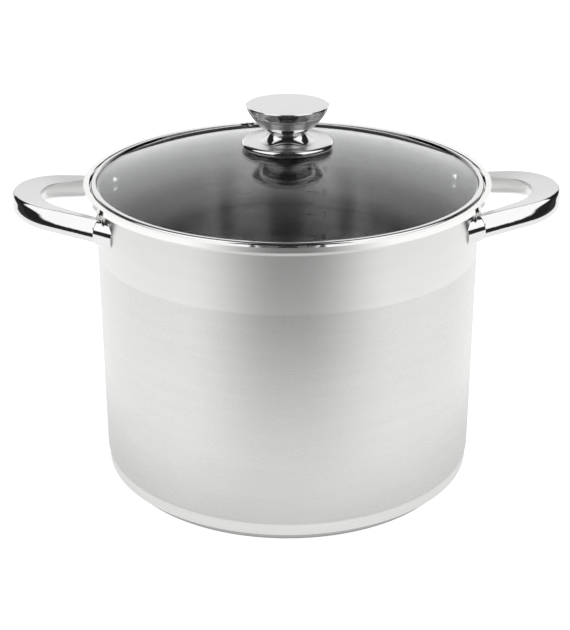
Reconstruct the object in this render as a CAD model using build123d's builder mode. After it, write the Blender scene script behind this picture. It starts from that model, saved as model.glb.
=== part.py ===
from build123d import *
import os
from math import asin, cos, degrees, radians, sin, sqrt

os.makedirs("parts", exist_ok=True)

# ---------------------------------------------------------------------------------------------
# Frame: millimetres, +Z up, origin at the middle of the face that the pot stands on.
# X runs through the two side handles, -Y is the front of the pot.
# ---------------------------------------------------------------------------------------------

# Pot shell: deep-drawn sheet with a flat floor, a rounded corner and a flared pouring rim
pot_inner_radius = 130.0
sheet = 1.0
pot_outer_radius = pot_inner_radius + sheet
rim_height = 215.0
floor_underside = 6.2
corner_radius = 12.5
flare_start = rim_height - 11.0
lip_outer_radius = 138.5
lip_inner_radius = 134.7
lip_top = rim_height - 3.0
lip_bottom = rim_height - 6.4
seat_height = rim_height - 6.9
seat_foot_height = rim_height - 9.6
lip_round = 1.6
lip_underside_round = 0.7
flare_round = 2.5
seat_round = 0.8
seat_foot_round = 1.2

# Capsule base: an aluminium heat disc shut in by a thin steel cap
cap_radius = 124.4
cap_sheet = 0.7
cap_wall = 1.4
cap_height = 7.4
cap_edge_round = 2.6
cap_lip_round = 0.4
core_radius = 121.0

# Glass lid: a shallow dome in a rolled steel band with a locating skirt
glass_radius = 131.0
glass_thickness = 4.0
glass_edge_round = 0.8
glass_crown = rim_height + 19.5
dome_radius = 380.0
band_outer_radius = 133.4
band_inner_radius = 130.2
band_cover = 1.3
band_bottom = rim_height - 8.7
band_top_round = 2.0
band_bevel = 2.0
skirt_outer_radius = 128.6
skirt_sheet = 0.8
skirt_bottom = rim_height - 15.0
stud_hole_radius = 4.2
vent_hole_radius = 3.0
vent_distance = 100.0
vent_angle = 105.5
grommet_flange_radius = 5.2
grommet_flange = 1.3
grommet_bore_radius = 1.6
grommet_edge_round = 0.35
grommet_gap = 0.05
grommet_lip_step = 0.8

# Knob: two turned pieces clamped on the crown by one screw
washer_thickness = 1.0
washer_radius = 20.0
knob_foot = glass_crown + washer_thickness
knob_recess_radius = 23.5
knob_rim_gap = 0.2
knob_foot_radius = 27.8
knob_base_radius = 31.2
knob_widest_height = 1.0
knob_crest_radius = 29.6
knob_crest_height = knob_foot + 2.8
knob_crest_round = 0.6
knob_dish_radius = 24.5
knob_dish_height = knob_foot + 1.7
knob_cone_radius = 19.2
knob_waist_radius = 12.7
knob_waist_height = knob_foot + 7.5
knob_seam = 0.15
knob_cone_hollow = 0.5
knob_neck = 0.9
knob_flare_low = (16.2, 3.4)
knob_flare_middle = (20.6, 7.3)
knob_flare_high = (24.2, 11.7)
knob_top_radius = 28.0
knob_top_height = rim_height + 47.5
knob_edge_round = 0.5
screw_radius = 2.5
screw_fit = 0.2
screw_head_radius = 4.8
screw_head_height = 2.8
screw_head_round = 1.4
screw_cross_width = 0.9
screw_cross_length = 5.4
screw_cross_depth = 1.4
screw_engagement = 8.0
screw_bore_depth = 20.0
screw_end_gap = 0.5
inner_washer_radius = 13.0
inner_washer_thickness = 1.4
steel_washer_radius = 9.0
steel_washer_thickness = 1.0

# Side handles: closed loops of tapering D section that rise a little away from the wall
handle_height = rim_height - 23.4
handle_drop = 1.1
handle_top = 7.6
handle_rise = 6.0
leg_angle = 24.6
loop_centre = 143.5
loop_radius = 35.0
leg_gap_from_wall = 2.0
leg_azimuth = 21.4
loop_lean_on_leg = 5.6
loop_lean_at_grip = 1.5
handle_cut_reach = 40.0
flange_plate = 3.4
flange_blank = 20.0
flange_edge_round = 1.2
flange_width = 22.0
flange_waist_height = 14.0
flange_lobe_radius = 7.9
upper_lobe_offset = 5.0
lower_lobe_offset = -3.4
collar_distance = 3.6
collar_radius = 9.4
collar_root_radius = 10.6
collar_length = 14.0
collar_edge_round = 0.9
rivet_shank_radius = 2.8
rivet_shank_length = 7.5
rivet_head_radius = 5.9
rivet_head_height = 2.6
rivet_head_gap = 0.15

# Handle sections: flat top width, bulge of the outer side, height, sideways place of the keel
handle_end = (5.4, 3.6, 15.2, 2.6)
handle_shoulder = (7.4, 3.4, 15.2, 3.0)
handle_bend = (12.8, 2.2, 15.0, 4.0)
handle_grip = (17.4, 0.9, 14.4, 3.0)
shoulder_place = 0.13
bend_place = 0.26

# How far a cutting tool starts before the wall it cuts through
cut_margin = 5.0

# Jar rack: a low tray of round wire that keeps the jars off the pot floor
floor_top = floor_underside + sheet
rack_wire_radius = 2.0
rack_ring_radius = 115.0
rack_inner_ring_radius = 62.0
rack_clearance = 0.3
rack_foot_height = 14.0
rack_bar_pitch = 23.0
rack_bar_count = 9
rack_foot_wire_radius = 1.8
rack_foot_span = 26.0
rack_foot_count = 4
rack_foot_bend = 4.5
rack_weld_depth = 0.4


def glass_top(radius):
    """Height of the upper glass surface at a distance from the axis."""
    return glass_crown - dome_radius + sqrt(dome_radius**2 - radius**2)


def glass_bottom(radius):
    """Height of the lower glass surface at a distance from the axis."""
    inner = dome_radius - glass_thickness
    return glass_crown - dome_radius + sqrt(inner**2 - radius**2)


def save(piece, name):
    """Label one finished piece and write it as its own STEP file."""
    piece.part.label = name
    export_step(piece.part, f"parts/{name}.step")


# ---------------------------------------------------------------------------------------------
# Pot
# ---------------------------------------------------------------------------------------------

# Four legs, named by the handle and the side of the pot they meet
leg_places = {
    "right_back": leg_azimuth,
    "left_back": 180 - leg_azimuth,
    "left_front": 180 + leg_azimuth,
    "right_front": -leg_azimuth,
}


def radial_plane(azimuth, distance, height):
    """Plane that faces away from the pot axis at an azimuth, with its Y direction upwards."""
    outwards = Vector(cos(radians(azimuth)), sin(radians(azimuth)), 0)
    sideways = Vector(-sin(radians(azimuth)), cos(radians(azimuth)), 0)
    origin = (outwards.X * distance, outwards.Y * distance, height)
    return Plane(origin=origin, x_dir=sideways, z_dir=outwards)


with BuildPart() as pot_body:
    with BuildSketch(Plane.XZ) as shell_section:
        with BuildLine():
            Polyline(
                (0, floor_underside),
                (pot_outer_radius, floor_underside),
                (pot_outer_radius, flare_start),
                (lip_outer_radius, lip_bottom),
                (lip_outer_radius, lip_top),
                (lip_inner_radius, lip_top),
                (lip_inner_radius, seat_height),
                (pot_inner_radius, seat_foot_height),
                (pot_inner_radius, floor_top),
                (0, floor_top),
                close=True,
            )
        make_face()
        corners = shell_section.vertices()
        outer_corner = corners.sort_by_distance((pot_outer_radius, floor_underside))[0]
        inner_corner = corners.sort_by_distance((pot_inner_radius, floor_top))[0]
        flare_outside = corners.sort_by_distance((pot_outer_radius, flare_start))[0]
        lip_underside = corners.sort_by_distance((lip_outer_radius, lip_bottom))[0]
        lip_crest = corners.group_by(Axis.Y)[-1]
        seat_corner = corners.sort_by_distance((lip_inner_radius, seat_height))[0]
        seat_foot = corners.sort_by_distance((pot_inner_radius, seat_foot_height))[0]
        fillet(outer_corner, corner_radius)
        fillet(inner_corner, corner_radius - sheet)
        fillet(flare_outside, flare_round)
        fillet(lip_underside, lip_underside_round)
        fillet(lip_crest, lip_round)
        fillet(seat_corner, seat_round)
        fillet(seat_foot, seat_foot_round)
    revolve(axis=Axis.Z)
    for azimuth in leg_places.values():
        with BuildSketch(radial_plane(azimuth, pot_inner_radius - cut_margin, handle_height)):
            Circle(rivet_shank_radius)
        extrude(amount=sheet + 2 * cut_margin, mode=Mode.SUBTRACT)
save(pot_body, "pot_body")

with BuildPart() as base_core:
    with BuildSketch(Plane.XY.offset(cap_sheet)):
        Circle(core_radius)
    extrude(amount=floor_underside - cap_sheet)
save(base_core, "base_core")

with BuildPart() as base_cap:
    with BuildSketch(Plane.XZ) as cap_section:
        with BuildLine():
            Polyline(
                (0, 0),
                (cap_radius, 0),
                (cap_radius, cap_height),
                (cap_radius - cap_wall, cap_height - cap_lip_round),
                (cap_radius - cap_wall, cap_sheet),
                (0, cap_sheet),
                close=True,
            )
        make_face()
        bottom_edge = cap_section.vertices().sort_by_distance((cap_radius, 0))[0]
        top_edge = cap_section.vertices().sort_by_distance((cap_radius, cap_height))[0]
        fillet(bottom_edge, cap_edge_round)
        fillet(top_edge, cap_lip_round)
    revolve(axis=Axis.Z)
save(base_cap, "base_cap")

# ---------------------------------------------------------------------------------------------
# Side handles
# ---------------------------------------------------------------------------------------------

# The loop lies in a plane that is tilted up away from the wall.  Its plan is a straight leg, one
# arc at the grip, and the second leg.
wall_x = pot_outer_radius * cos(radians(leg_azimuth))
wall_y = pot_outer_radius * sin(radians(leg_azimuth))
rise = radians(handle_rise)
loop_plane = Plane(
    origin=(wall_x, 0, handle_height - handle_drop),
    x_dir=(cos(rise), 0, sin(rise)),
    z_dir=(-sin(rise), 0, cos(rise)),
)
start_u = leg_gap_from_wall * cos(radians(leg_angle))
start_v = wall_y - leg_gap_from_wall * sin(radians(leg_angle))
arc_u = loop_centre - wall_x
touch_u = arc_u + loop_radius * sin(radians(leg_angle))
touch_v = loop_radius * cos(radians(leg_angle))

with BuildLine(loop_plane) as loop_path:
    Line((start_u, -start_v), (touch_u, -touch_v))
    ThreePointArc((touch_u, -touch_v), (arc_u + loop_radius, 0), (touch_u, touch_v))
    Line((touch_u, touch_v), (start_u, start_v))


def handle_section(place, shape, lean):
    """D section of the loop: a flat top that leans inwards, a full outer side and a low keel.

    In the section's plane X points to the inside of the loop.
    """
    top_width, bulge, height, keel = shape
    forwards = loop_path.wire() % place
    upwards = loop_plane.z_dir
    across = upwards.cross(forwards) * cos(radians(lean)) - upwards * sin(radians(lean))
    plane = Plane(origin=loop_path.wire() @ place, x_dir=across, z_dir=forwards)
    inner_edge = (top_width / 2, handle_top)
    outer_edge = (-top_width / 2, handle_top)
    bottom = (-keel, handle_top - height)
    inner_side = (top_width / 2 + bulge * 0.4, handle_top - height * 0.4)
    outer_side = (-top_width / 2 - bulge, handle_top - height * 0.33)
    with BuildSketch(plane) as section:
        with BuildLine():
            Line(outer_edge, inner_edge)
            Spline(inner_edge, inner_side, bottom, tangents=((0.3, -1), (-1, 0)))
            Spline(bottom, outer_side, outer_edge, tangents=((-1, 0), (0.95, 1)))
        make_face()
    return section.sketch


with BuildPart() as handle_right:
    sections = [
        handle_section(0, handle_end, loop_lean_on_leg),
        handle_section(shoulder_place, handle_shoulder, loop_lean_on_leg),
        handle_section(bend_place, handle_bend, loop_lean_on_leg),
        handle_section(0.5, handle_grip, loop_lean_at_grip),
        handle_section(1 - bend_place, handle_bend, loop_lean_on_leg),
        handle_section(1 - shoulder_place, handle_shoulder, loop_lean_on_leg),
        handle_section(1, handle_end, loop_lean_on_leg),
    ]
    sweep(sections=sections, path=loop_path.wire(), multisection=True)
    with BuildSketch(Plane.XY.offset(handle_height - handle_cut_reach)):
        Circle(pot_outer_radius + flange_plate)
    extrude(amount=2 * handle_cut_reach, mode=Mode.SUBTRACT)
    for azimuth in (leg_azimuth, -leg_azimuth):
        with BuildSketch(radial_plane(azimuth, pot_outer_radius, handle_height)):
            Circle(rivet_shank_radius)
        extrude(amount=rivet_shank_length, mode=Mode.SUBTRACT)
save(handle_right, "handle_right")

with BuildPart() as handle_left:
    mirror(handle_right.part, about=Plane.YZ)
save(handle_left, "handle_left")


# One flange per leg: a two-lobed plate curved to the wall, with a collar that the leg plugs into.
# The collar follows the slant of the leg, and the rivet passes through the plate into the leg.


def handle_flange(azimuth, place):
    """Flange of one leg of the right handle, cut to the leg's end and bored for its rivet."""
    wall_plane = radial_plane(azimuth, pot_outer_radius - cut_margin, handle_height)
    slab_plane = Plane.XY.offset(handle_height - handle_cut_reach)
    into_leg = (loop_path.wire() % place) * (1 if place == 0 else -1)
    collar_end = loop_path.wire() @ place + into_leg * (collar_distance - leg_gap_from_wall)
    sideways = into_leg.cross(loop_plane.z_dir)
    with BuildPart() as flange:
        with BuildSketch(wall_plane):
            Ellipse(flange_width / 2, flange_waist_height / 2)
            with Locations((0, upper_lobe_offset), (0, lower_lobe_offset)):
                Circle(flange_lobe_radius)
        extrude(amount=flange_blank)
        with BuildSketch(slab_plane):
            Circle(pot_outer_radius + flange_plate)
        extrude(amount=2 * handle_cut_reach, mode=Mode.INTERSECT)
        outwards = Axis((0, 0, 0), wall_plane.z_dir)
        fillet(flange.faces().sort_by(outwards)[-1].edges(), flange_edge_round)
        with BuildSketch(Plane(origin=collar_end, x_dir=loop_plane.z_dir, z_dir=sideways)) as collar:
            with BuildLine():
                Polyline(
                    (0, 0),
                    (collar_radius, 0),
                    (collar_root_radius, collar_length),
                    (0, collar_length),
                    close=True,
                )
            make_face()
            fillet(collar.vertices().sort_by_distance((collar_radius, 0))[0], collar_edge_round)
        revolve(axis=Axis(collar_end, into_leg))
        with BuildSketch(slab_plane):
            Circle(pot_outer_radius)
        extrude(amount=2 * handle_cut_reach, mode=Mode.SUBTRACT)
        with BuildSketch(wall_plane):
            Circle(rivet_shank_radius)
        extrude(amount=cut_margin + rivet_shank_length, mode=Mode.SUBTRACT)
        add(handle_right.part, mode=Mode.SUBTRACT)
        add(pot_body.part, mode=Mode.SUBTRACT)
    return flange


for leg, place in (("right_front", 0), ("right_back", 1)):
    flange = handle_flange(leg_places[leg], place)
    save(flange, f"flange_{leg}")
    with BuildPart() as opposite:
        mirror(flange.part, about=Plane.YZ)
    save(opposite, f"flange_{leg.replace('right', 'left')}")

with BuildPart() as handle_rivets:
    for azimuth in leg_places.values():
        rivet_axis = Axis((0, 0, handle_height), radial_plane(azimuth, 0, 0).z_dir)
        shank_end = pot_outer_radius + rivet_shank_length
        head_top = pot_inner_radius - rivet_head_height
        head_foot = pot_inner_radius - rivet_head_gap
        side_plane = Plane((0, 0, handle_height), x_dir=rivet_axis.direction, z_dir=(0, 0, 1))
        with BuildSketch(side_plane):
            with BuildLine():
                ThreePointArc(
                    (head_top, 0),
                    (head_top + 0.7, rivet_head_radius * 0.72),
                    (head_foot, rivet_head_radius),
                )
                Polyline(
                    (head_foot, rivet_head_radius),
                    (head_foot, rivet_shank_radius),
                    (shank_end, rivet_shank_radius),
                    (shank_end, 0),
                    (head_top, 0),
                )
            make_face()
        revolve(axis=rivet_axis)
save(handle_rivets, "handle_rivets")

# ---------------------------------------------------------------------------------------------
# Lid
# ---------------------------------------------------------------------------------------------

vent_slope = degrees(asin(vent_distance / dome_radius))
vent_direction = Vector(cos(radians(vent_angle)), sin(radians(vent_angle)), 0)
vent_axis = vent_direction * sin(radians(vent_slope)) + Vector(0, 0, cos(radians(vent_slope)))
vent_point = vent_direction * vent_distance + Vector(0, 0, glass_top(vent_distance))
vent_plane = Plane(origin=vent_point, z_dir=vent_axis)

with BuildPart() as lid_glass:
    with BuildSketch(Plane.XZ) as glass_section:
        with BuildLine():
            half = glass_radius / 2
            top = (glass_radius, glass_top(glass_radius))
            bottom = (glass_radius, glass_bottom(glass_radius))
            ThreePointArc((0, glass_top(0)), (half, glass_top(half)), top)
            Line(top, bottom)
            ThreePointArc(bottom, (half, glass_bottom(half)), (0, glass_bottom(0)))
            Line((0, glass_bottom(0)), (0, glass_top(0)))
        make_face()
        fillet(glass_section.vertices().group_by(Axis.X)[-1], glass_edge_round)
    revolve(axis=Axis.Z)
    with BuildSketch(Plane.XY.offset(glass_bottom(0) - 1)):
        Circle(stud_hole_radius)
    extrude(amount=glass_thickness + 2, mode=Mode.SUBTRACT)
    with BuildSketch(vent_plane.offset(-glass_thickness - 2)):
        Circle(vent_hole_radius)
    extrude(amount=glass_thickness + 4, mode=Mode.SUBTRACT)
save(lid_glass, "lid_glass")

with BuildPart() as lid_band:
    with BuildSketch(Plane.XZ) as band_section:
        with BuildLine():
            Polyline(
                (band_inner_radius, glass_top(band_inner_radius) + band_cover),
                (band_outer_radius, glass_top(band_inner_radius) + band_cover),
                (band_outer_radius, band_bottom + band_bevel),
                (band_outer_radius - band_bevel, band_bottom),
                (skirt_outer_radius, band_bottom),
                (skirt_outer_radius, skirt_bottom),
                (skirt_outer_radius - skirt_sheet, skirt_bottom),
                (skirt_outer_radius - skirt_sheet, glass_bottom(skirt_outer_radius) + 1),
                (band_inner_radius, glass_bottom(skirt_outer_radius) + 1),
                close=True,
            )
        make_face()
        top_edge = band_section.vertices().sort_by_distance((band_outer_radius, rim_height))[0]
        fillet(top_edge, band_top_round)
    revolve(axis=Axis.Z)
    add(lid_glass.part, mode=Mode.SUBTRACT)
save(lid_band, "lid_band")

with BuildPart() as vent_grommet:
    with BuildSketch(vent_plane.offset(grommet_gap)):
        Circle(grommet_flange_radius)
        Circle(grommet_bore_radius, mode=Mode.SUBTRACT)
    extrude(amount=grommet_flange)
    fillet(vent_grommet.edges().group_by(Axis(vent_point, vent_axis))[-1], grommet_edge_round)
    with BuildSketch(vent_plane.offset(-glass_thickness - 2 * grommet_gap)):
        Circle(vent_hole_radius)
        Circle(grommet_bore_radius, mode=Mode.SUBTRACT)
    extrude(amount=glass_thickness + 4 * grommet_gap)
    with BuildSketch(vent_plane.offset(-glass_thickness - 2 * grommet_gap)):
        Circle(grommet_flange_radius - grommet_lip_step)
        Circle(grommet_bore_radius, mode=Mode.SUBTRACT)
    extrude(amount=-grommet_flange)
save(vent_grommet, "vent_grommet")

with BuildPart() as knob_washer:
    with BuildSketch(Plane.XZ):
        with BuildLine():
            Line((screw_radius + screw_fit, glass_top(screw_radius + screw_fit)), (screw_radius + screw_fit, knob_foot))
            Line((screw_radius + screw_fit, knob_foot), (washer_radius, knob_foot))
            Line((washer_radius, knob_foot), (washer_radius, glass_top(washer_radius)))
            ThreePointArc(
                (washer_radius, glass_top(washer_radius)),
                (washer_radius / 2, glass_top(washer_radius / 2)),
                (screw_radius + screw_fit, glass_top(screw_radius + screw_fit)),
            )
        make_face()
    revolve(axis=Axis.Z)
save(knob_washer, "knob_washer")

# The base is hollow over the washer, so that its rounded rim comes down close to the glass
knob_rim_bottom = glass_top(knob_recess_radius) + knob_rim_gap
knob_bore = screw_radius + screw_fit / 2
knob_cone_middle = (
    (knob_cone_radius + knob_waist_radius) / 2 - knob_cone_hollow,
    (knob_dish_height + knob_waist_height) / 2 - knob_cone_hollow,
)
with BuildPart() as knob_base:
    with BuildSketch(Plane.XZ) as base_section:
        with BuildLine():
            Polyline(
                (knob_bore, knob_foot),
                (knob_recess_radius, knob_foot),
                (knob_recess_radius, knob_rim_bottom),
                (knob_foot_radius, knob_rim_bottom),
            )
            Spline(
                (knob_foot_radius, knob_rim_bottom),
                (knob_base_radius, knob_rim_bottom + knob_widest_height),
                (knob_crest_radius, knob_crest_height),
                tangents=((1, 0.15), (-1, 0.45)),
            )
            Spline(
                (knob_crest_radius, knob_crest_height),
                (knob_dish_radius, knob_dish_height),
                (knob_cone_radius, knob_dish_height),
                tangents=((-1, -0.35), (-1, 0)),
            )
            ThreePointArc(
                (knob_cone_radius, knob_dish_height),
                knob_cone_middle,
                (knob_waist_radius, knob_waist_height),
            )
            Polyline(
                (knob_waist_radius, knob_waist_height),
                (knob_bore, knob_waist_height),
                (knob_bore, knob_foot),
            )
        make_face()
        crest = base_section.vertices().sort_by_distance((knob_crest_radius, knob_crest_height))[0]
        fillet(crest, knob_crest_round)
    revolve(axis=Axis.Z)
save(knob_base, "knob_base")

knob_top_bottom = knob_waist_height + knob_seam
with BuildPart() as knob_top:
    with BuildSketch(Plane.XZ) as top_section:
        with BuildLine():
            Polyline(
                (0, knob_top_bottom),
                (knob_waist_radius, knob_top_bottom),
                (knob_waist_radius, knob_waist_height + knob_neck),
            )
            Spline(
                (knob_waist_radius, knob_waist_height + knob_neck),
                (knob_flare_low[0], knob_waist_height + knob_flare_low[1]),
                (knob_flare_middle[0], knob_waist_height + knob_flare_middle[1]),
                (knob_flare_high[0], knob_waist_height + knob_flare_high[1]),
                (knob_top_radius, knob_top_height - knob_edge_round),
                tangents=((0.3, 1), (0.35, 1)),
            )
            Polyline(
                (knob_top_radius, knob_top_height - knob_edge_round),
                (knob_top_radius - knob_edge_round, knob_top_height),
                (0, knob_top_height),
                (0, knob_top_bottom),
            )
        make_face()
    revolve(axis=Axis.Z)
    with BuildSketch(Plane.XY.offset(knob_waist_height)):
        Circle(screw_radius)
    extrude(amount=screw_engagement, mode=Mode.SUBTRACT)
save(knob_top, "knob_top")

inner_washer_top = glass_bottom(inner_washer_radius)
steel_washer_top = inner_washer_top - inner_washer_thickness
screw_seat = steel_washer_top - steel_washer_thickness

with BuildPart() as inner_washer:
    with BuildSketch(Plane.XY.offset(steel_washer_top)):
        Circle(inner_washer_radius)
    extrude(amount=inner_washer_thickness)
    with BuildSketch(Plane.XY.offset(inner_washer_top)):
        Circle(stud_hole_radius - screw_fit / 2)
    extrude(amount=glass_top(0) - inner_washer_top - screw_fit)
    with BuildSketch(Plane.XY.offset(steel_washer_top)):
        Circle(screw_radius + screw_fit)
    extrude(amount=screw_bore_depth, mode=Mode.SUBTRACT)
save(inner_washer, "inner_washer")

with BuildPart() as steel_washer:
    with BuildSketch(Plane.XY.offset(screw_seat)):
        Circle(steel_washer_radius)
        Circle(screw_radius + screw_fit, mode=Mode.SUBTRACT)
    extrude(amount=steel_washer_thickness)
save(steel_washer, "steel_washer")

with BuildPart() as knob_screw:
    with BuildSketch(Plane.XY.offset(screw_seat)):
        Circle(screw_head_radius)
    extrude(amount=-screw_head_height)
    fillet(knob_screw.edges().group_by(Axis.Z)[0], screw_head_round)
    with BuildSketch(Plane.XY.offset(screw_seat)):
        Circle(screw_radius)
    extrude(amount=knob_waist_height + screw_engagement - screw_end_gap - screw_seat)
    with BuildSketch(Plane.XY.offset(screw_seat - screw_head_height)):
        Rectangle(screw_cross_width, screw_cross_length)
        Rectangle(screw_cross_length, screw_cross_width)
    extrude(amount=screw_cross_depth, mode=Mode.SUBTRACT)
save(knob_screw, "knob_screw")

# ---------------------------------------------------------------------------------------------
# Jar rack
# ---------------------------------------------------------------------------------------------

rack_floor = floor_top + rack_clearance
ring_height = rack_floor + rack_foot_height
bar_height = ring_height + 2 * rack_wire_radius - rack_weld_depth


def wire_ring(radius, name):
    """Closed ring of rack wire around the pot axis."""
    with BuildPart() as ring:
        with BuildSketch(Plane.XZ):
            with Locations((radius, ring_height)):
                Circle(rack_wire_radius)
        revolve(axis=Axis.Z)
    save(ring, name)


wire_ring(rack_ring_radius, "rack_outer_ring")
wire_ring(rack_inner_ring_radius, "rack_inner_ring")

with BuildPart() as rack_bars:
    for index in range(rack_bar_count):
        offset = (index - (rack_bar_count - 1) / 2) * rack_bar_pitch
        half_length = sqrt((rack_ring_radius + 0.5) ** 2 - offset**2)
        with BuildSketch(Plane.XZ.offset(-half_length)):
            with Locations((offset, bar_height)):
                Circle(rack_wire_radius)
        extrude(amount=2 * half_length)
save(rack_bars, "rack_bars")

# Each foot is a U of thinner wire that hangs from the outer ring
with BuildPart() as rack_feet:
    for index in range(rack_foot_count):
        azimuth = 45 + index * 360 / rack_foot_count
        foot_plane = radial_plane(azimuth, rack_ring_radius, 0)
        foot_bottom = rack_floor + rack_foot_wire_radius
        foot_top = ring_height - rack_wire_radius + 0.6
        half_span = rack_foot_span / 2
        with BuildLine(foot_plane) as foot_path:
            FilletPolyline(
                (-half_span, foot_top),
                (-half_span * 0.7, foot_bottom),
                (half_span * 0.7, foot_bottom),
                (half_span, foot_top),
                radius=rack_foot_bend,
            )
        start = foot_path.wire() @ 0
        with BuildSketch(Plane(origin=start, z_dir=foot_path.wire() % 0)):
            Circle(rack_foot_wire_radius)
        sweep(path=foot_path.wire())
save(rack_feet, "rack_feet")
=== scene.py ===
import math

import bmesh
import bpy
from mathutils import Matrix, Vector


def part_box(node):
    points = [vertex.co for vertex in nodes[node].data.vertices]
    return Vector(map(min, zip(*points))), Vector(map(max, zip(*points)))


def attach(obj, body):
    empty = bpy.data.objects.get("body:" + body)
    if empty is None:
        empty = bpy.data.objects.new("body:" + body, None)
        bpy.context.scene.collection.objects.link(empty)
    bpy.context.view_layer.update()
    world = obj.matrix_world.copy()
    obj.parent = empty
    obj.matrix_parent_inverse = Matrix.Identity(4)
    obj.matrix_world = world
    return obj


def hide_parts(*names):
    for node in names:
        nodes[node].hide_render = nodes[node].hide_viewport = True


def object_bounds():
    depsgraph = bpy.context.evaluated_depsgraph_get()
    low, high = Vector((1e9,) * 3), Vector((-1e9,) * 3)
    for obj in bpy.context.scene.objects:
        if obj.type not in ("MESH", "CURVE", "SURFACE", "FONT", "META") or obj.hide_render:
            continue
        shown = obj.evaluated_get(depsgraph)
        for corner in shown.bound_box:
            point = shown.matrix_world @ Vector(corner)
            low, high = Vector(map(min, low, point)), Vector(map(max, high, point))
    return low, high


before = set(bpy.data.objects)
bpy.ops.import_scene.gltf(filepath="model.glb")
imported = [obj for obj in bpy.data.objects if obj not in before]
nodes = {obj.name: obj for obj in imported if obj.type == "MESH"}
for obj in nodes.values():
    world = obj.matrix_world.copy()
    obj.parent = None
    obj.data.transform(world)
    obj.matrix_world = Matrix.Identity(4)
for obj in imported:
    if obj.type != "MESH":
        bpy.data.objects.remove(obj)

cad_low, cad_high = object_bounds()
scene = bpy.context.scene

MM = 0.001
body_low, body_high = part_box("pot_body")
cap_low, cap_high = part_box("base_cap")

# The rim plane is where the heights of lid, band and finishes are measured from. The lip ends below it.
LIP_DROP = 3.0 * MM
LIP_OVERHANG = 7.5 * MM
WALL_SHEET = 1.0 * MM
RIM = body_high.z + LIP_DROP
WALL_RADIUS = body_high.x - LIP_OVERHANG
INNER_RADIUS = WALL_RADIUS - WALL_SHEET
FLOOR_TOP = body_low.z + WALL_SHEET

# Finishes of the shell: the polished lip ends here, and the brushed wall starts below the matt band
POLISH_END = RIM - 10.2 * MM
BRUSH_START = RIM - 50.0 * MM


# ------------------------------------------------------------------------------------------
# Node helpers
# ------------------------------------------------------------------------------------------


class Nodes:
    """Small builder for one material's node tree."""

    def __init__(self, name):
        self.material = bpy.data.materials.new(name)
        self.material.use_nodes = True
        self.tree = self.material.node_tree
        self.tree.nodes.clear()
        self.output = self.tree.nodes.new("ShaderNodeOutputMaterial")
        self.shader = self.tree.nodes.new("ShaderNodeBsdfPrincipled")
        self.link(self.shader.outputs[0], self.output.inputs["Surface"])
        self.coords = self.tree.nodes.new("ShaderNodeTexCoord")
        self.geometry = self.tree.nodes.new("ShaderNodeNewGeometry")
        split = self.tree.nodes.new("ShaderNodeSeparateXYZ")
        self.link(self.coords.outputs["Object"], split.inputs[0])
        self.x, self.y, self.z = split.outputs

    def link(self, a, b):
        self.tree.links.new(a, b)

    def put(self, value, socket):
        """Sets a socket from another socket or from a plain value."""
        if isinstance(value, bpy.types.NodeSocket):
            self.link(value, socket)
        else:
            socket.default_value = value

    def math(self, operation, a, b=0.0):
        node = self.tree.nodes.new("ShaderNodeMath")
        node.operation = operation
        for value, socket in zip((a, b), node.inputs):
            self.put(value, socket)
        return node.outputs[0]

    def product(self, a, b):
        return self.math("MULTIPLY", a, b)

    def rest(self, share):
        """What is left of 1 after a share."""
        return self.math("SUBTRACT", 1.0, share)

    def radius(self):
        """Distance from the pot axis."""
        squares = self.math("ADD", self.product(self.x, self.x), self.product(self.y, self.y))
        return self.math("SQRT", squares)

    def angle(self):
        """Azimuth round the pot axis, in radians."""
        return self.math("ARCTAN2", self.x, self.y)

    def above(self, value, edge, width):
        """0 below the edge and 1 above it, with a smooth step of that width."""
        node = self.tree.nodes.new("ShaderNodeMapRange")
        node.interpolation_type = "SMOOTHSTEP"
        self.put(value, node.inputs["Value"])
        node.inputs["From Min"].default_value = edge - width / 2
        node.inputs["From Max"].default_value = edge + width / 2
        return node.outputs["Result"]

    def remap(self, value, from_low, from_high, to_low, to_high):
        node = self.tree.nodes.new("ShaderNodeMapRange")
        self.put(value, node.inputs["Value"])
        node.inputs["From Min"].default_value = from_low
        node.inputs["From Max"].default_value = from_high
        node.inputs["To Min"].default_value = to_low
        node.inputs["To Max"].default_value = to_high
        return node.outputs["Result"]

    def vector(self, x, y, z):
        node = self.tree.nodes.new("ShaderNodeCombineXYZ")
        for value, socket in zip((x, y, z), node.inputs):
            self.put(value, socket)
        return node.outputs[0]

    def noise(self, vector, scale=1.0, detail=2.0, rough=0.5):
        node = self.tree.nodes.new("ShaderNodeTexNoise")
        self.link(vector, node.inputs["Vector"])
        node.inputs["Scale"].default_value = scale
        node.inputs["Detail"].default_value = detail
        node.inputs["Roughness"].default_value = rough
        return node.outputs["Fac"]

    def blend(self, share, a, b):
        """a where the share is 0, b where it is 1."""
        node = self.tree.nodes.new("ShaderNodeMix")
        node.data_type = "FLOAT"
        self.put(share, node.inputs[0])
        self.put(a, node.inputs[2])
        self.put(b, node.inputs[3])
        return node.outputs[0]

    def bump(self, height, strength, distance, edge_round=0.0):
        """Surface relief. edge_round also softens the shading of hard edges by that radius."""
        node = self.tree.nodes.new("ShaderNodeBump")
        if edge_round:
            soft_edge = self.tree.nodes.new("ShaderNodeBevel")
            soft_edge.samples = 8
            soft_edge.inputs["Radius"].default_value = edge_round
            self.link(soft_edge.outputs[0], node.inputs["Normal"])
        node.inputs["Strength"].default_value = strength
        node.inputs["Distance"].default_value = distance
        self.put(height, node.inputs["Height"])
        self.link(node.outputs[0], self.shader.inputs["Normal"])

    def tangent_round_axis(self):
        """Brushing that runs round the pot."""
        node = self.tree.nodes.new("ShaderNodeTangent")
        node.direction_type = "RADIAL"
        node.axis = "Z"
        self.link(node.outputs[0], self.shader.inputs["Tangent"])

    def set(self, **values):
        for name, value in values.items():
            self.put(value, self.shader.inputs[name.replace("_", " ")])


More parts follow.
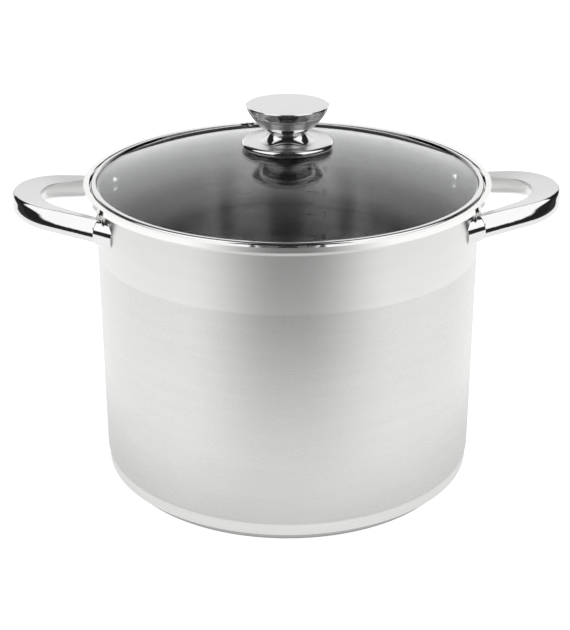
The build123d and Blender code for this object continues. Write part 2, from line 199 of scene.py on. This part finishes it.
def brush_streaks(n, along, across, density):
    """Noise drawn out into fine lines: slow along the brushing and quick across it."""
    return n.noise(n.vector(along, across, 0.0), scale=density, detail=4.0, rough=0.65)


# ------------------------------------------------------------------------------------------
# Materials
# ------------------------------------------------------------------------------------------


def pot_steel():
    """Drawn stainless shell: polished lip, matt upper band, brushed wall, smoother inside."""
    n = Nodes("pot_steel")
    fine = brush_streaks(n, n.product(n.angle(), 0.03), n.z, 1500.0)
    coarse = brush_streaks(n, n.product(n.angle(), 0.012), n.z, 160.0)
    cloud = n.noise(n.coords.outputs["Object"], scale=14.0, detail=3.0)
    outside = n.above(n.radius(), WALL_RADIUS - WALL_SHEET / 2, 0.2 * MM)
    lip = n.above(n.z, POLISH_END, 0.8 * MM)
    brushed = n.product(n.rest(n.above(n.z, BRUSH_START, 1.2 * MM)), outside)

    base = n.remap(coarse, 0.3, 0.7, 0.83, 0.86)
    base = n.product(base, n.remap(cloud, 0.3, 0.7, 0.98, 1.02))
    base = n.product(base, n.blend(brushed, 1.0, n.remap(fine, 0.25, 0.75, 0.85, 0.94)))
    base = n.blend(outside, n.remap(coarse, 0.3, 0.7, 0.90, 0.95), base)
    base = n.blend(lip, base, 0.90)
    n.set(Base_Color=n.vector(n.product(base, 1.005), base, n.product(base, 0.99)))

    rough = n.blend(brushed, n.remap(cloud, 0.3, 0.7, 0.29, 0.33), n.remap(fine, 0.3, 0.7, 0.25, 0.33))
    rough = n.blend(outside, n.remap(coarse, 0.3, 0.7, 0.10, 0.15), rough)
    rough = n.blend(lip, rough, n.remap(cloud, 0.3, 0.7, 0.05, 0.09))
    n.set(Roughness=rough, Metallic=1.0, Anisotropic=0.7, Anisotropic_Rotation=0.25)
    n.tangent_round_axis()
    height = n.product(fine, n.product(brushed, n.rest(lip)))
    height = n.math("ADD", height, n.product(cloud, n.blend(outside, 0.05, 0.6)))
    n.bump(height, 0.12, 0.05 * MM)
    return n.material


def polished_steel(name, satin=None, colour=0.86, edge_round=0.0):
    """Mirror-polished steel.

    satin may give a share of the surface that is finely brushed instead, colour is how much light
    the polished part reflects, and edge_round softens the shading of hard edges by that radius.
    """
    n = Nodes(name)
    smudge = n.noise(n.coords.outputs["Object"], scale=60.0, detail=3.0)
    drawn_out = n.vector(n.product(n.x, 40.0), n.product(n.y, 900.0), n.product(n.z, 300.0))
    hair = n.noise(drawn_out, scale=2.0, detail=3.0)
    rough = n.remap(smudge, 0.3, 0.7, 0.045, 0.085)
    base = n.remap(smudge, 0.3, 0.7, colour - 0.015, colour + 0.015)
    height = n.product(smudge, 0.4)
    if satin is not None:
        share = satin(n)
        rough = n.blend(share, rough, n.remap(hair, 0.3, 0.7, 0.28, 0.38))
        base = n.blend(share, base, n.remap(hair, 0.3, 0.7, 0.82, 0.88))
        height = n.math("ADD", height, n.product(share, n.product(hair, 0.5)))
    n.set(Base_Color=n.vector(base, base, n.product(base, 0.995)), Roughness=rough, Metallic=1.0)
    n.bump(height, 0.08, 0.03 * MM, edge_round)
    return n.material


def facing_up(low, high):
    """Satin share of surfaces by how far up they face: none below low, all above high."""

    def share(n):
        split = n.tree.nodes.new("ShaderNodeSeparateXYZ")
        n.link(n.geometry.outputs["Normal"], split.inputs[0])
        return n.above(split.outputs["Z"], (low + high) / 2, high - low)

    return share


def lid_glass():
    """Clear tempered glass with a trace of haze."""
    n = Nodes("lid_glass")
    haze = n.noise(n.coords.outputs["Object"], scale=35.0, detail=3.0)
    n.set(
        Base_Color=(0.965, 0.985, 0.985, 1.0),
        Roughness=n.remap(haze, 0.35, 0.75, 0.0, 0.02),
        IOR=1.50,
        Transmission_Weight=1.0,
    )
    n.bump(haze, 0.02, 0.02 * MM)
    return n.material


def silicone():
    """Pale washers that cushion the knob and its screw."""
    n = Nodes("silicone")
    cloud = n.noise(n.coords.outputs["Object"], scale=300.0, detail=3.0)
    shade = n.remap(cloud, 0.3, 0.7, 0.66, 0.74)
    n.set(
        Base_Color=n.vector(shade, shade, n.product(shade, 0.96)),
        Roughness=n.remap(cloud, 0.3, 0.7, 0.38, 0.52),
        Subsurface_Weight=0.3,
    )
    n.shader.inputs["Subsurface Radius"].default_value = (0.002, 0.002, 0.0018)
    n.bump(cloud, 0.1, 0.02 * MM)
    return n.material


def base_steel():
    """Pressed cap of the base: brushed side with painted shade, dark all over and darker still at the
    seam and the foot, turned rings underneath.
    """
    n = Nodes("base_steel")
    side = brush_streaks(n, n.product(n.angle(), 0.03), n.z, 1500.0)
    rings = n.noise(n.vector(n.product(n.radius(), 1200.0), 0.0, 0.0), scale=1.0, detail=3.0)
    under = n.rest(n.above(n.z, cap_low.z + 0.5 * MM, 0.6 * MM))
    pattern = n.blend(under, side, rings)
    # Painted shade: the colour is kept low all over the cap, standing in for the shade close to the
    # floor
    shade = n.remap(pattern, 0.3, 0.7, 0.50, 0.57)
    # Painted shadow: the top millimetre of the cap, where it meets the body, at half the colour
    seam_shadow = n.above(n.z, cap_high.z - 1.0 * MM, 0.4 * MM)
    shade = n.product(shade, n.blend(seam_shadow, 1.0, 0.5))
    # Painted shade: the foot next to the floor falls to 0.6 of the colour
    out_of_foot_shadow = n.above(n.z, cap_low.z + 1.8 * MM, 1.6 * MM)
    shade = n.product(shade, n.blend(out_of_foot_shadow, 0.60, 1.0))
    n.set(
        Base_Color=n.vector(shade, shade, n.product(shade, 0.99)),
        Roughness=n.remap(pattern, 0.3, 0.7, 0.20, 0.30),
        Metallic=1.0,
        Anisotropic=0.4,
        Anisotropic_Rotation=0.25,
    )
    n.tangent_round_axis()
    n.bump(pattern, 0.12, 0.04 * MM)
    return n.material


def cast_aluminium():
    """Grainy heat disc inside the base."""
    n = Nodes("cast_aluminium")
    grain = n.noise(n.coords.outputs["Object"], scale=900.0, detail=4.0)
    shade = n.remap(grain, 0.3, 0.7, 0.62, 0.74)
    n.set(
        Base_Color=n.vector(shade, shade, n.product(shade, 1.02)),
        Roughness=n.remap(grain, 0.3, 0.7, 0.42, 0.55),
        Metallic=1.0,
    )
    n.bump(grain, 0.25, 0.05 * MM)
    return n.material


def etched_mark():
    """Dark matt etching of the litre scale."""
    n = Nodes("etched_mark")
    grain = n.noise(n.coords.outputs["Object"], scale=2500.0, detail=2.0)
    shade = n.remap(grain, 0.3, 0.7, 0.10, 0.20)
    n.set(
        Base_Color=n.vector(shade, shade, shade),
        Roughness=n.remap(grain, 0.3, 0.7, 0.5, 0.7),
        Metallic=0.6,
    )
    return n.material


# Light levels of the floor, and distances from the pot axis in metres where its mirrored table changes
FLOOR_GLOW = 0.85
TABLE_LEVEL = 1.08
ROOM_LEVEL = 0.04
TABLE_FRONT_EDGE = 0.42
TABLE_FRONT_FADE = 0.52
TABLE_FRONT_SHADE = 0.84
TABLE_END = 1.25
TABLE_END_FADE = 0.2
POT_SHADOW_REACH = 0.20
POT_SHADOW_FADE = 0.14
POT_SHADOW_SHADE = 0.30
FRONT_HALF_WIDTH = math.radians(30)
FRONT_FADE = math.radians(52)


def floor_material():
    """Plain pale studio floor. Mirror-like steel sees it as a white table that ends in a dark room.

    In mirrors the table is a little darker next to the pot, and much darker on the side of the
    camera, where a dark room takes over from it.
    """
    n = Nodes("studio_floor")
    tone = n.noise(n.coords.outputs["Object"], scale=3.0, detail=2.0)
    shade = n.remap(tone, 0.3, 0.7, 0.79, 0.81)
    n.set(Base_Color=n.vector(shade, shade, shade), Roughness=0.9)
    n.shader.inputs["Specular IOR Level"].default_value = 0.0
    n.shader.inputs["Emission Color"].default_value = (1, 1, 1, 1)
    n.shader.inputs["Emission Strength"].default_value = FLOOR_GLOW
    away = n.radius()
    from_front = n.math("ABSOLUTE", n.math("ARCTAN2", n.x, n.product(n.y, -1.0)))
    front = n.rest(n.above(from_front, FRONT_HALF_WIDTH, FRONT_FADE))
    front_dark = n.product(front, n.above(away, TABLE_FRONT_EDGE, TABLE_FRONT_FADE))
    dark = n.product(front_dark, TABLE_FRONT_SHADE)
    dark = n.math("MAXIMUM", dark, n.above(away, TABLE_END, TABLE_END_FADE))
    near = n.rest(n.above(away, POT_SHADOW_REACH, POT_SHADOW_FADE))
    dark = n.math("MAXIMUM", dark, n.product(near, POT_SHADOW_SHADE))
    table = n.tree.nodes.new("ShaderNodeEmission")
    level = n.remap(dark, 0.0, 1.0, TABLE_LEVEL, ROOM_LEVEL)
    n.link(n.vector(level, level, level), table.inputs["Color"])
    path = n.tree.nodes.new("ShaderNodeLightPath")
    mix = n.tree.nodes.new("ShaderNodeMixShader")
    n.link(path.outputs["Is Glossy Ray"], mix.inputs[0])
    n.link(n.shader.outputs[0], mix.inputs[1])
    n.link(table.outputs[0], mix.inputs[2])
    n.link(mix.outputs[0], n.output.inputs["Surface"])
    return n.material


def give(material, *names):
    """Puts one material on these CAD nodes."""
    for name in names:
        slots = nodes[name].data.materials
        slots.clear()
        slots.append(material)


SIDES = ("left", "right")
FLAT_TOP = facing_up(0.94, 0.975)
TURNED_FACE = facing_up(0.82, 0.90)
give(pot_steel(), "pot_body")
give(base_steel(), "base_cap")
give(cast_aluminium(), "base_core")
give(polished_steel("handle_steel", FLAT_TOP, 0.76, edge_round=0.7 * MM), "handle_left", "handle_right")
give(
    polished_steel("flange_steel", colour=0.78),
    *[f"flange_{side}_{end}" for side in SIDES for end in ("back", "front")],
)
give(polished_steel("rivet_steel", colour=0.84), "handle_rivets")
give(lid_glass(), "lid_glass")
give(polished_steel("band_steel", colour=0.80), "lid_band", "vent_grommet")
give(polished_steel("knob_steel", TURNED_FACE, 0.78), "knob_top", "knob_base")
give(polished_steel("screw_steel", colour=0.78), "knob_screw", "steel_washer")
give(silicone(), "knob_washer", "inner_washer")
give(
    polished_steel("rack_wire_steel", colour=0.80),
    "rack_outer_ring",
    "rack_inner_ring",
    "rack_bars",
    "rack_feet",
)


# ------------------------------------------------------------------------------------------
# Lid band: the rolled steel ring with its skirt, turned with many more steps than the CAD mesh
# ------------------------------------------------------------------------------------------

BAND_STEPS = 360
ROUND_STEPS = 10
BAND_CREASE = math.radians(30)
BAND_WIDTH = 3.2 * MM
BAND_ROUND = 2.0 * MM
BAND_BEVEL = 2.0 * MM
BAND_BOTTOM = RIM - 8.7 * MM
SKIRT_INSET = 4.8 * MM
SKIRT_SHEET = 0.8 * MM
GLASS_CLEARANCE = 0.03 * MM
DOME_RADIUS = 380.0 * MM
GLASS_THICKNESS = 4.0 * MM
band_low, band_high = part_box("lid_band")
glass_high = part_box("lid_glass")[1]
GLASS_RADIUS = glass_high.x
DOME_CENTRE = glass_high.z - DOME_RADIUS


def glass_surface(r, depth=0.0):
    """Height of the glass dome at a radius, on top or that far below its top."""
    return DOME_CENTRE + math.sqrt((DOME_RADIUS - depth) ** 2 - r * r)


def band_profile():
    """Closed (radius, height) outline of the band, which grips the edge of the glass."""
    outer = band_high.x
    inner = outer - BAND_WIDTH
    top = band_high.z
    skirt_outer = outer - SKIRT_INSET
    skirt_inner = skirt_outer - SKIRT_SHEET
    clear = GLASS_CLEARANCE
    points = [(inner, top)]
    for step in range(ROUND_STEPS + 1):
        turn = math.pi / 2 * (1 - step / ROUND_STEPS)
        in_from_side = BAND_ROUND * (1 - math.cos(turn))
        down_from_top = BAND_ROUND * (1 - math.sin(turn))
        points.append((outer - in_from_side, top - down_from_top))
    points += [
        (outer, BAND_BOTTOM + BAND_BEVEL),
        (outer - BAND_BEVEL, BAND_BOTTOM),
        (skirt_outer, BAND_BOTTOM),
        (skirt_outer, band_low.z),
        (skirt_inner, band_low.z),
        (skirt_inner, glass_surface(skirt_inner, GLASS_THICKNESS) - clear),
        (GLASS_RADIUS + clear, glass_surface(GLASS_RADIUS, GLASS_THICKNESS) - clear),
        (GLASS_RADIUS + clear, glass_surface(GLASS_RADIUS) + clear),
        (inner, glass_surface(inner) + clear),
    ]
    return points


def turned(name, profile, steps, crease):
    """Ring turned from a closed outline round the pot axis."""
    vertices = []
    for step in range(steps):
        turn = 2 * math.pi * step / steps
        vertices += [(r * math.cos(turn), r * math.sin(turn), z) for r, z in profile]
    count = len(profile)
    faces = []
    for step in range(steps):
        here = step * count
        there = (step + 1) % steps * count
        for i in range(count):
            j = (i + 1) % count
            faces.append((here + i, here + j, there + j, there + i))
    mesh = bpy.data.meshes.new(name)
    mesh.from_pydata(vertices, [], faces)
    bm = bmesh.new()
    bm.from_mesh(mesh)
    bmesh.ops.recalc_face_normals(bm, faces=bm.faces)
    bm.to_mesh(mesh)
    bm.free()
    mesh.shade_smooth()
    mesh.set_sharp_from_angle(angle=crease)
    ring = bpy.data.objects.new(name, mesh)
    scene.collection.objects.link(ring)
    return ring


band = turned("band_ring", band_profile(), BAND_STEPS, BAND_CREASE)
band.data.materials.append(nodes["lid_band"].data.materials[0])
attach(band, "lid")
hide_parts("lid_band")


# ------------------------------------------------------------------------------------------
# Litre scale: plain numbers and ticks etched on the inside of the far wall
# ------------------------------------------------------------------------------------------

LITRE = 18.83 * MM
FIRST_MARK = 2
LAST_MARK = 10
SCALE_AZIMUTH = math.radians(8.5)
MARK_DEPTH = 0.12 * MM
MARK_CLEARANCE = 0.02 * MM
NUMBER_SIZE = 7.5 * MM
NUMBER_OFFSET = 12 * MM
LITRE_TICK = (9 * MM, 0.7 * MM)
HALF_TICK = (5 * MM, 0.5 * MM)


def on_inner_wall(mesh, height, turn):
    """Bends flat mesh coordinates (x to the right, y up) on to the inside of the back wall."""
    for vertex in mesh.vertices:
        along = vertex.co.x / INNER_RADIUS
        azimuth = turn + along
        r = INNER_RADIUS - MARK_CLEARANCE - vertex.co.z
        up = height + vertex.co.y
        vertex.co = Vector((math.sin(azimuth) * r, math.cos(azimuth) * r, up))


def scale_text(text, size):
    """Flat mesh of a short text, as thick as a mark."""
    curve = bpy.data.curves.new(f"text_{text}", "FONT")
    curve.body = text
    curve.size = size
    curve.align_x = "LEFT"
    curve.align_y = "CENTER"
    curve.extrude = MARK_DEPTH / 2
    carrier = bpy.data.objects.new(f"text_{text}", curve)
    scene.collection.objects.link(carrier)
    bpy.context.view_layer.update()
    evaluated = carrier.evaluated_get(bpy.context.evaluated_depsgraph_get())
    mesh = bpy.data.meshes.new_from_object(evaluated)
    bpy.data.objects.remove(carrier)
    return mesh


def tick(length, thickness):
    """Flat bar that starts at the origin and runs along X, as thick as a mark."""
    bm = bmesh.new()
    bmesh.ops.create_grid(bm, x_segments=8, y_segments=1, size=0.5)
    bmesh.ops.scale(bm, vec=(length, thickness, 1), verts=bm.verts)
    bmesh.ops.translate(bm, vec=(length / 2, 0, 0), verts=bm.verts)
    top = bmesh.ops.extrude_face_region(bm, geom=bm.faces[:])
    raised = [v for v in top["geom"] if isinstance(v, bmesh.types.BMVert)]
    bmesh.ops.translate(bm, vec=(0, 0, MARK_DEPTH), verts=raised)
    bmesh.ops.recalc_face_normals(bm, faces=bm.faces)
    mesh = bpy.data.meshes.new("tick")
    bm.to_mesh(mesh)
    bm.free()
    return mesh


def join(meshes, name):
    bm = bmesh.new()
    for mesh in meshes:
        bm.from_mesh(mesh)
    joined = bpy.data.meshes.new(name)
    bm.to_mesh(joined)
    bm.free()
    return joined


marks = []
for litres in range(FIRST_MARK, LAST_MARK + 1):
    mark_height = FLOOR_TOP + litres * LITRE
    number = scale_text(str(litres), NUMBER_SIZE)
    on_inner_wall(number, mark_height, SCALE_AZIMUTH + NUMBER_OFFSET / INNER_RADIUS)
    line = tick(*LITRE_TICK)
    on_inner_wall(line, mark_height, SCALE_AZIMUTH)
    half = tick(*HALF_TICK)
    on_inner_wall(half, mark_height - LITRE / 2, SCALE_AZIMUTH)
    marks += [number, line, half]
scale = bpy.data.objects.new("litre_scale", join(marks, "litre_scale"))
scene.collection.objects.link(scale)
scale.data.materials.append(etched_mark())
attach(scale, "pot")


# ------------------------------------------------------------------------------------------
# Studio: pale floor, soft surrounding light, camera
# ------------------------------------------------------------------------------------------

FLOOR_HALF_SIZE = 6.0
FLOOR_GAP = 0.2 * MM

bm = bmesh.new()
bmesh.ops.create_grid(bm, x_segments=2, y_segments=2, size=FLOOR_HALF_SIZE)
floor_mesh = bpy.data.meshes.new("studio_floor")
bm.to_mesh(floor_mesh)
bm.free()
floor = bpy.data.objects.new("studio_floor", floor_mesh)
floor.location.z = cad_low.z - FLOOR_GAP
floor.data.materials.append(floor_material())
scene.collection.objects.link(floor)

CAMERA_YAW = math.radians(-1.7)
CAMERA_DISTANCE = 0.945
CAMERA_HEIGHT = RIM + 0.3035
CAMERA_PITCH = math.radians(23.45)
SENSOR_MM = 36
LENS_MM = 82.663
SIDE_SHIFT = -0.003873

camera_data = bpy.data.cameras.new("camera")
camera_data.lens = LENS_MM
camera_data.sensor_width = SENSOR_MM
camera_data.shift_x = SIDE_SHIFT
camera = bpy.data.objects.new("camera", camera_data)
camera.location = (
    CAMERA_DISTANCE * math.sin(CAMERA_YAW),
    -CAMERA_DISTANCE * math.cos(CAMERA_YAW),
    CAMERA_HEIGHT,
)
camera.rotation_euler = (math.pi / 2 - CAMERA_PITCH, 0, CAMERA_YAW)
scene.collection.objects.link(camera)
scene.camera = camera

world = bpy.data.worlds.new("studio")
scene.world = world
world.use_nodes = True
tree = world.node_tree
tree.nodes.clear()


def world_node(kind, **settings):
    node = tree.nodes.new(kind)
    for key, value in settings.items():
        setattr(node, key, value)
    return node


def world_math(operation, a, b=0.0):
    node = world_node("ShaderNodeMath", operation=operation)
    for value, socket in zip((a, b), node.inputs):
        if isinstance(value, bpy.types.NodeSocket):
            tree.links.new(value, socket)
        else:
            socket.default_value = value
    return node.outputs[0]


def world_ramp(value, stops):
    """Light level by a value from 0 to 1, given as (place, level) stops."""
    node = world_node("ShaderNodeValToRGB")
    node.color_ramp.interpolation = "EASE"
    elements = node.color_ramp.elements
    while len(elements) < len(stops):
        elements.new(0.5)
    for element, (place, level) in zip(elements, stops):
        element.position = place
    for element, (place, level) in zip(elements, stops):
        element.color = (level, level, level, 1)
    tree.links.new(value, node.inputs[0])
    return node.outputs[0]


# Light levels by how far round from the front a direction is (0 in front of the pot, 1 behind it):
# two softboxes from about 37 to 100 degrees, and a white backdrop from about 137 degrees
SOFTBOX_AROUND = [(0.0, 0.0), (0.19, 0.0), (0.22, 1.0), (0.54, 1.0), (0.57, 0.0), (1.0, 0.0)]
BACKDROP_AROUND = [(0.0, 0.0), (0.745, 0.0), (0.79, 1.0), (1.0, 1.0)]
# Light levels by height (0 straight down, 0.5 at the horizon, 1 straight up)
SOFTBOX_BY_HEIGHT = [(0.0, 0.0), (0.62, 0.0), (0.66, 1.25), (0.965, 1.25), (0.985, 0.0)]
BACKDROP_BY_HEIGHT = [(0.0, 1.0), (0.70, 1.0), (0.80, 0.72), (0.87, 0.24), (0.92, 0.05), (1.0, 0.05)]
CEILING_BY_HEIGHT = [(0.0, 0.0), (0.90, 0.0), (0.95, 0.06), (1.0, 0.06)]
DARK_ROOM = 0.02

direction = world_node("ShaderNodeTexCoord").outputs["Generated"]
split = world_node("ShaderNodeSeparateXYZ")
tree.links.new(direction, split.inputs[0])
toward_front = world_math("MULTIPLY", split.outputs[1], -1.0)
from_front = world_math("ABSOLUTE", world_math("ARCTAN2", split.outputs[0], toward_front))
around = world_math("DIVIDE", from_front, math.pi)
height = world_math("ADD", world_math("MULTIPLY", split.outputs[2], 0.5), 0.5)
softboxes = world_ramp(around, SOFTBOX_AROUND)
softboxes = world_math("MULTIPLY", softboxes, world_ramp(height, SOFTBOX_BY_HEIGHT))
backdrop = world_ramp(around, BACKDROP_AROUND)
backdrop = world_math("MULTIPLY", backdrop, world_ramp(height, BACKDROP_BY_HEIGHT))
ceiling = world_ramp(height, CEILING_BY_HEIGHT)
level = world_math("MAXIMUM", softboxes, backdrop)
level = world_math("MAXIMUM", world_math("MAXIMUM", level, ceiling), DARK_ROOM)
# Steel and glass see that room; straight from the camera the background is plain white
light = world_node("ShaderNodeBackground")
tree.links.new(level, light.inputs["Color"])
light.inputs["Strength"].default_value = 1.0
plain = world_node("ShaderNodeBackground")
plain.inputs["Color"].default_value = (1, 1, 1, 1)
plain.inputs["Strength"].default_value = 1.0
path = world_node("ShaderNodeLightPath")
mix = world_node("ShaderNodeMixShader")
tree.links.new(path.outputs["Is Camera Ray"], mix.inputs[0])
tree.links.new(light.outputs[0], mix.inputs[1])
tree.links.new(plain.outputs[0], mix.inputs[2])
world_output = world_node("ShaderNodeOutputWorld")
tree.links.new(mix.outputs[0], world_output.inputs[0])

scene.view_settings.view_transform = "Standard"
scene.view_settings.look = "None"
